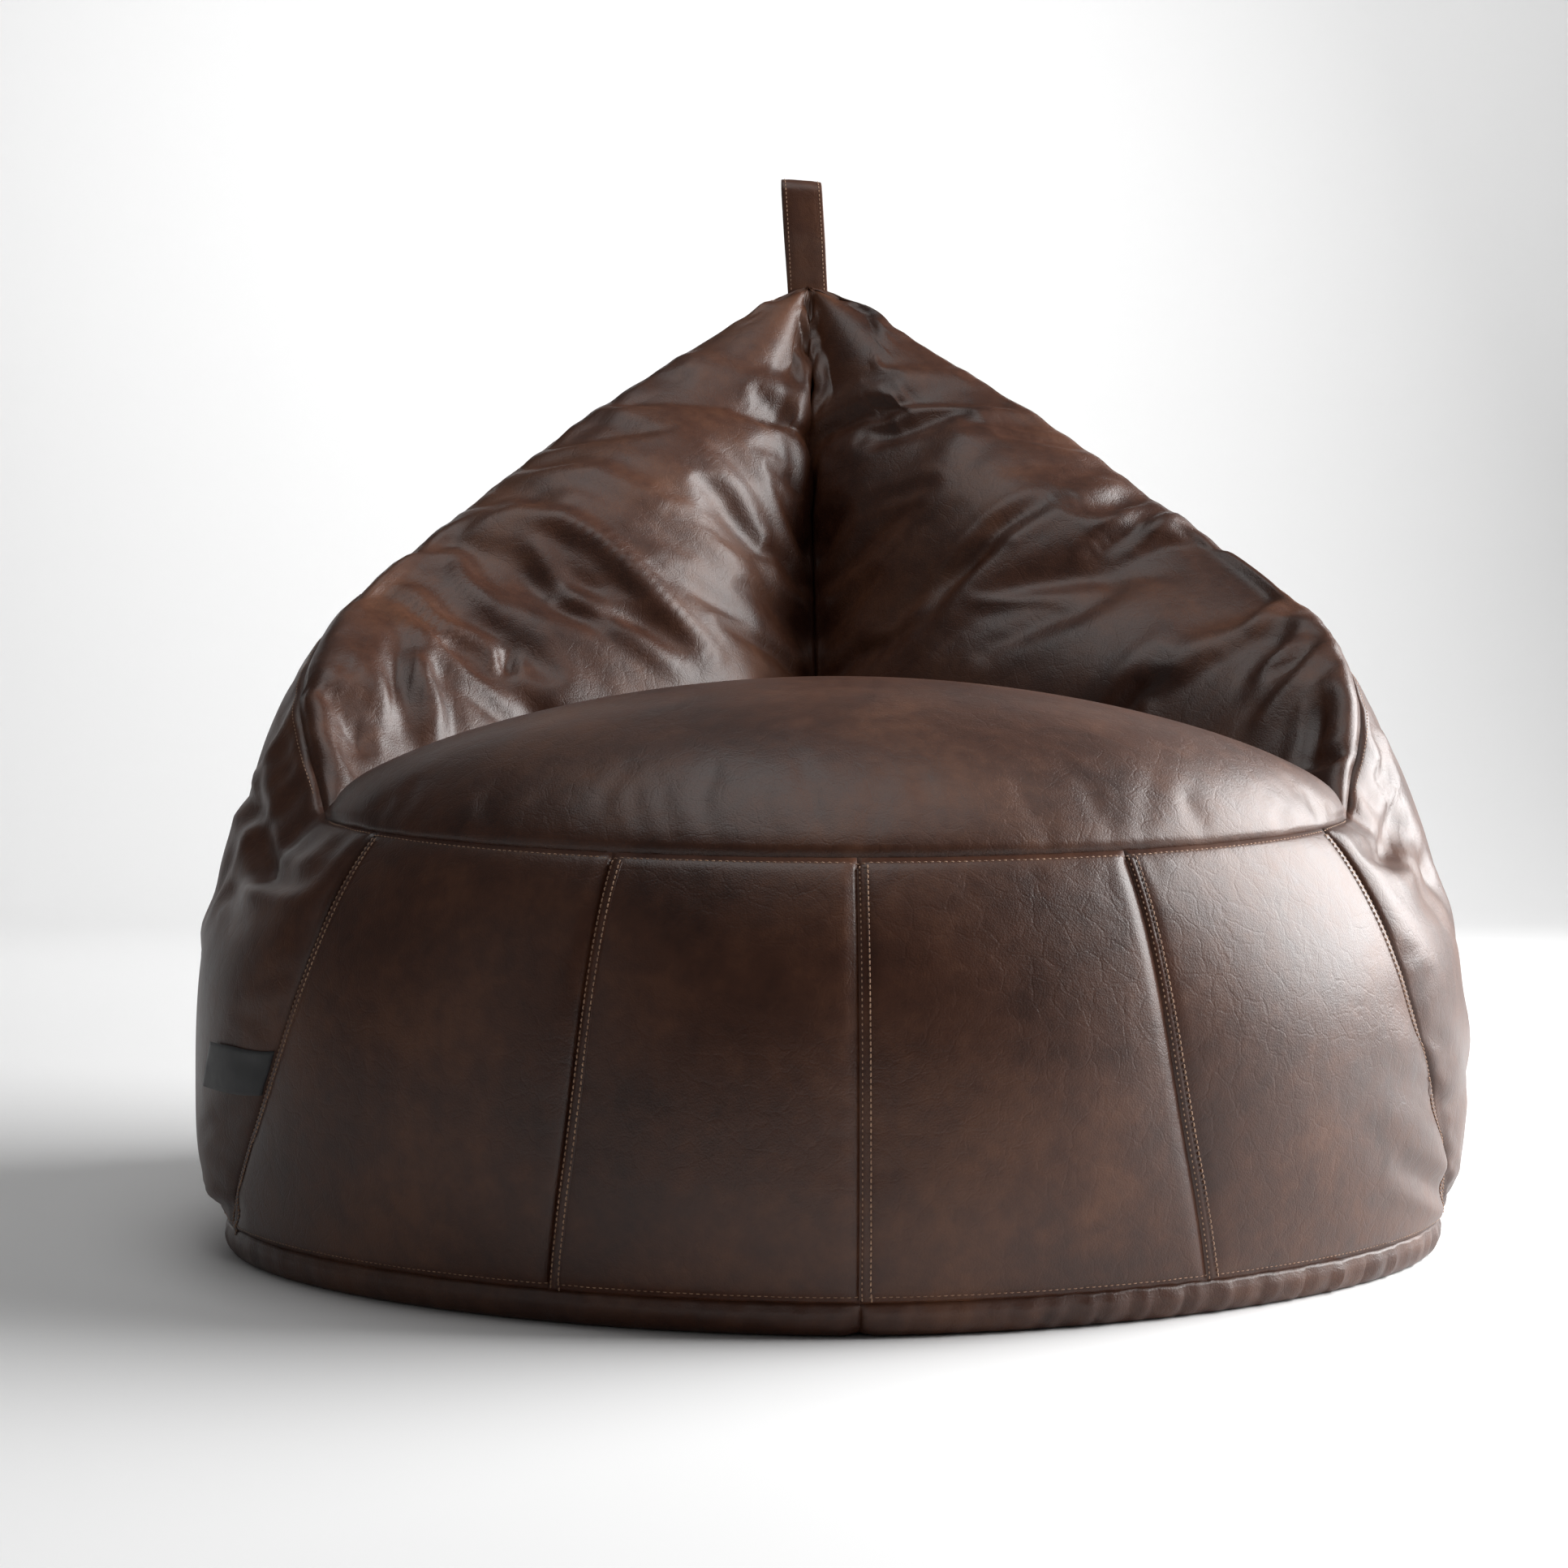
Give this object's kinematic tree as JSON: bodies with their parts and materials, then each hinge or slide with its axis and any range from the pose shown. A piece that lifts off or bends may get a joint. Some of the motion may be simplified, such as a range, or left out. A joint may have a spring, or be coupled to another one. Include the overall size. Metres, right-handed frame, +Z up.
{
  "type": "bean bag chair",
  "caption": "Low bean bag chair with a sewn leather cover: domed seat, two-lobed backrest, carry loop on its peak and a zip up the back.",
  "frame": {"origin": "on the floor, under the middle of the chair's box", "axes": "+Z up, -Y out of the front of the seat, +X to the right of somebody who faces the chair"},
  "size_m": [0.7996, 0.8505, 0.78],
  "materials": {
    "leather": "dark brown glossy coated leather, mottled red-brown, fine grain",
    "strap": "dark brown coated leather strap, stitched along both edges",
    "thread": "tan sewing thread",
    "satin_label": "black woven satin",
    "zip_tape": "dark brown woven tape",
    "zip_coil": "dark nylon coil",
    "zip_metal": "antique brass",
    "liner_cloth": "off-white woven liner cloth",
    "beads": "white expanded polystyrene beads"
  },
  "bodies": {
    "chair": {"seat_panel": "leather", "backrest_panel_left": "leather", "backrest_panel_right": "leather", "outer_panel_left": "leather", "outer_panel_right": "leather", "front_panel_left": "leather", "front_panel_right": "leather", "front_panel_far_left": "leather", "front_panel_far_right": "leather", "base_panel_left": "leather", "base_panel_right": "leather", "zip_tape_left": "zip_tape", "zip_tape_right": "zip_tape", "zip_coil_left": "zip_coil", "zip_coil_right": "zip_coil", "zip_top_stop": "zip_metal", "zip_bottom_stop": "zip_metal", "inner_liner": "liner_cloth", "liner_closure": "liner_cloth", "bead_filling": "beads"},
    "handle": {"carry_handle": "strap"},
    "label": {"care_label": "satin_label"},
    "slider": {"zip_slider": "zip_metal"},
    "pull": {"zip_pull": "zip_metal"}
  },
  "joints": [
    {"name": "handle_swing", "type": "hinge", "parent": "chair", "child": "handle", "pos_m": [0, 0.38065, 0.7003], "axis": [1, 0, 0], "range_deg": [-75, 75]},
    {"name": "label_fold", "type": "hinge", "parent": "chair", "child": "label", "pos_m": [-0.34833, -0.23894, 0.12522], "axis": [0.3191, -0.3721, 0.8716], "range_deg": [0, 120]},
    {"name": "zip_travel", "type": "slide", "parent": "chair", "child": "slider", "axis": [0, 0, -1], "range_m": [0, 0.198]},
    {"name": "pull_swing", "type": "hinge", "parent": "slider", "child": "pull", "pos_m": [0, 0.42273, 0.3491], "axis": [1, 0, 0], "range_deg": [0, 170]}
  ]
}
